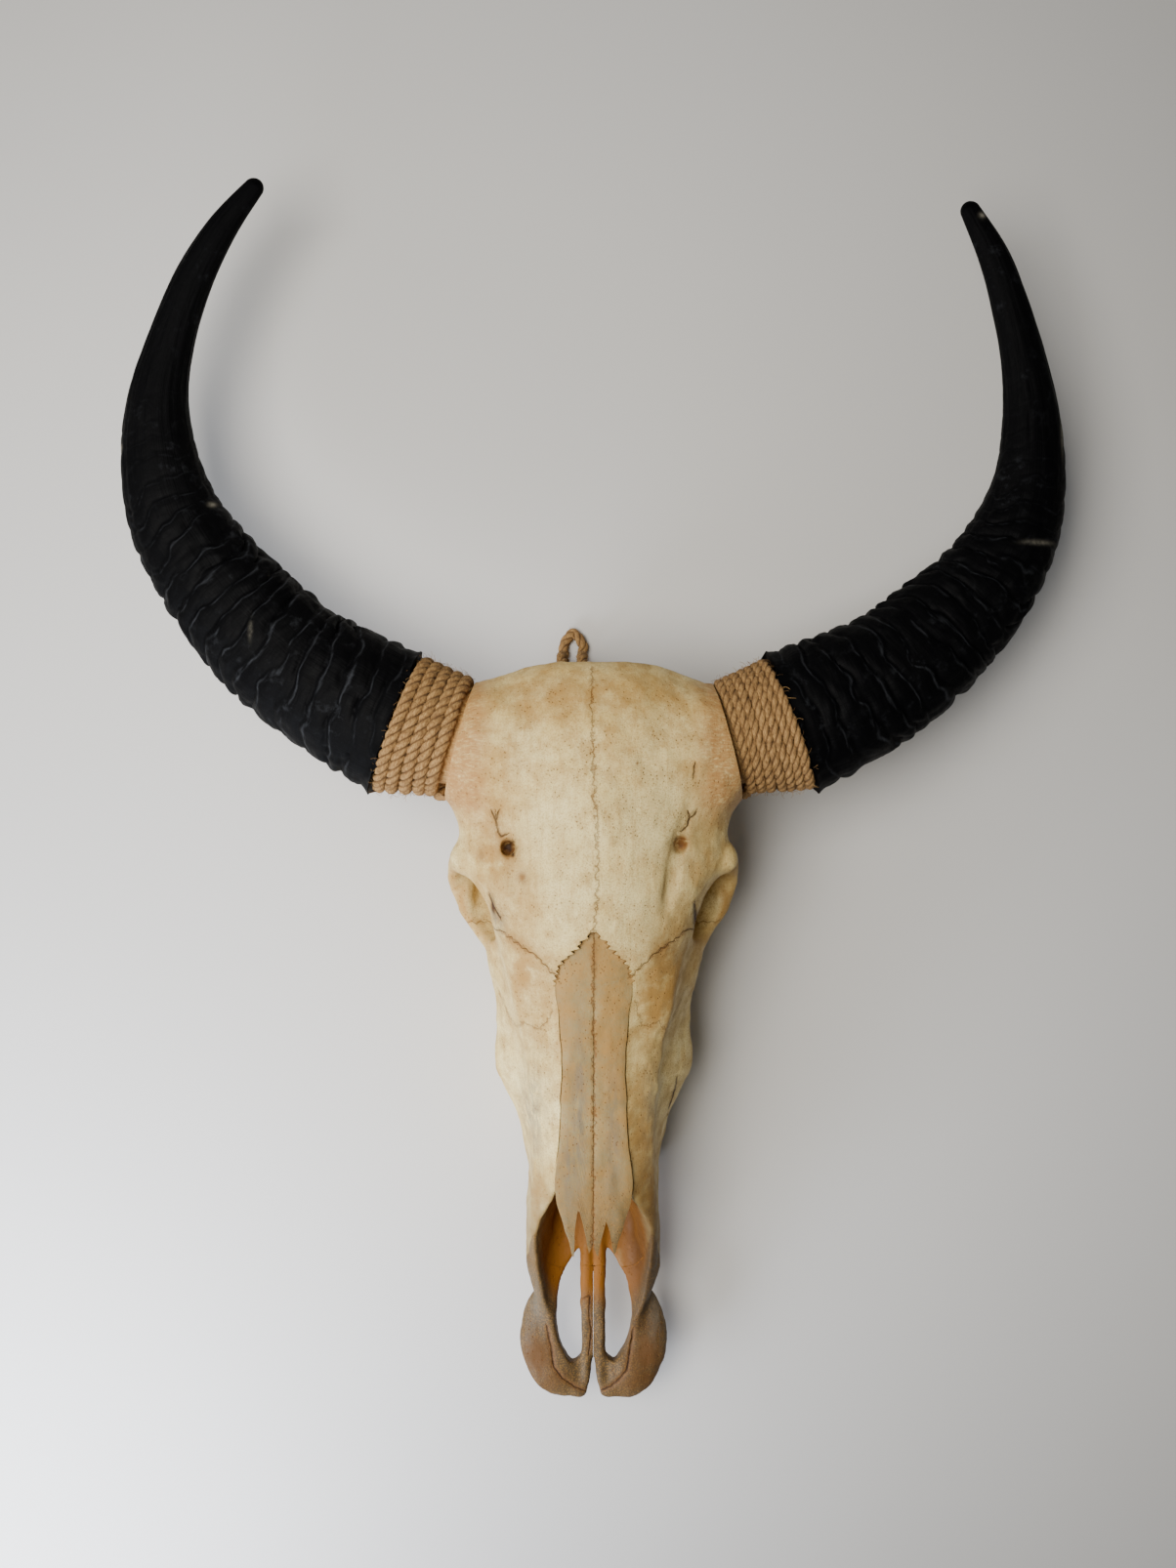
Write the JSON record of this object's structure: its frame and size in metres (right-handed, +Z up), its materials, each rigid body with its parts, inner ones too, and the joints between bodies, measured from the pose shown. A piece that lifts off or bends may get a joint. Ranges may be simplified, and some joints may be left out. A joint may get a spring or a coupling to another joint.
{
  "type": "water buffalo skull with horns",
  "caption": "Still life-size skull of an adult water buffalo without its lower jaw, with wide black horn sheaths, rope bindings and a hanging loop.",
  "frame": {"origin": "middle of the footprint of the skull and horns, on the surface that the skull lies on", "axes": "+X across the skull to its viewer's right, +Y from the muzzle to the poll and the horn tips, +Z up, away from the surface"},
  "size_m": [0.684, 0.9047, 0.213],
  "materials": {
    "bone": "dry matte bone",
    "stained_bone": "brown-stained matte bone",
    "horn": "satin black horn",
    "rope": "rough natural fibre"
  },
  "bodies": {
    "root": {"cranium": "bone", "upper_jaw": "bone", "nasal_left": "bone", "nasal_right": "bone", "cheekbone_left": "bone", "cheekbone_right": "bone", "premaxilla_left": "stained_bone", "premaxilla_right": "stained_bone", "horn_left": "horn", "horn_right": "horn", "rope_binding_left": "rope", "rope_binding_right": "rope", "hanging_loop": "rope"}
  },
  "joints": []
}
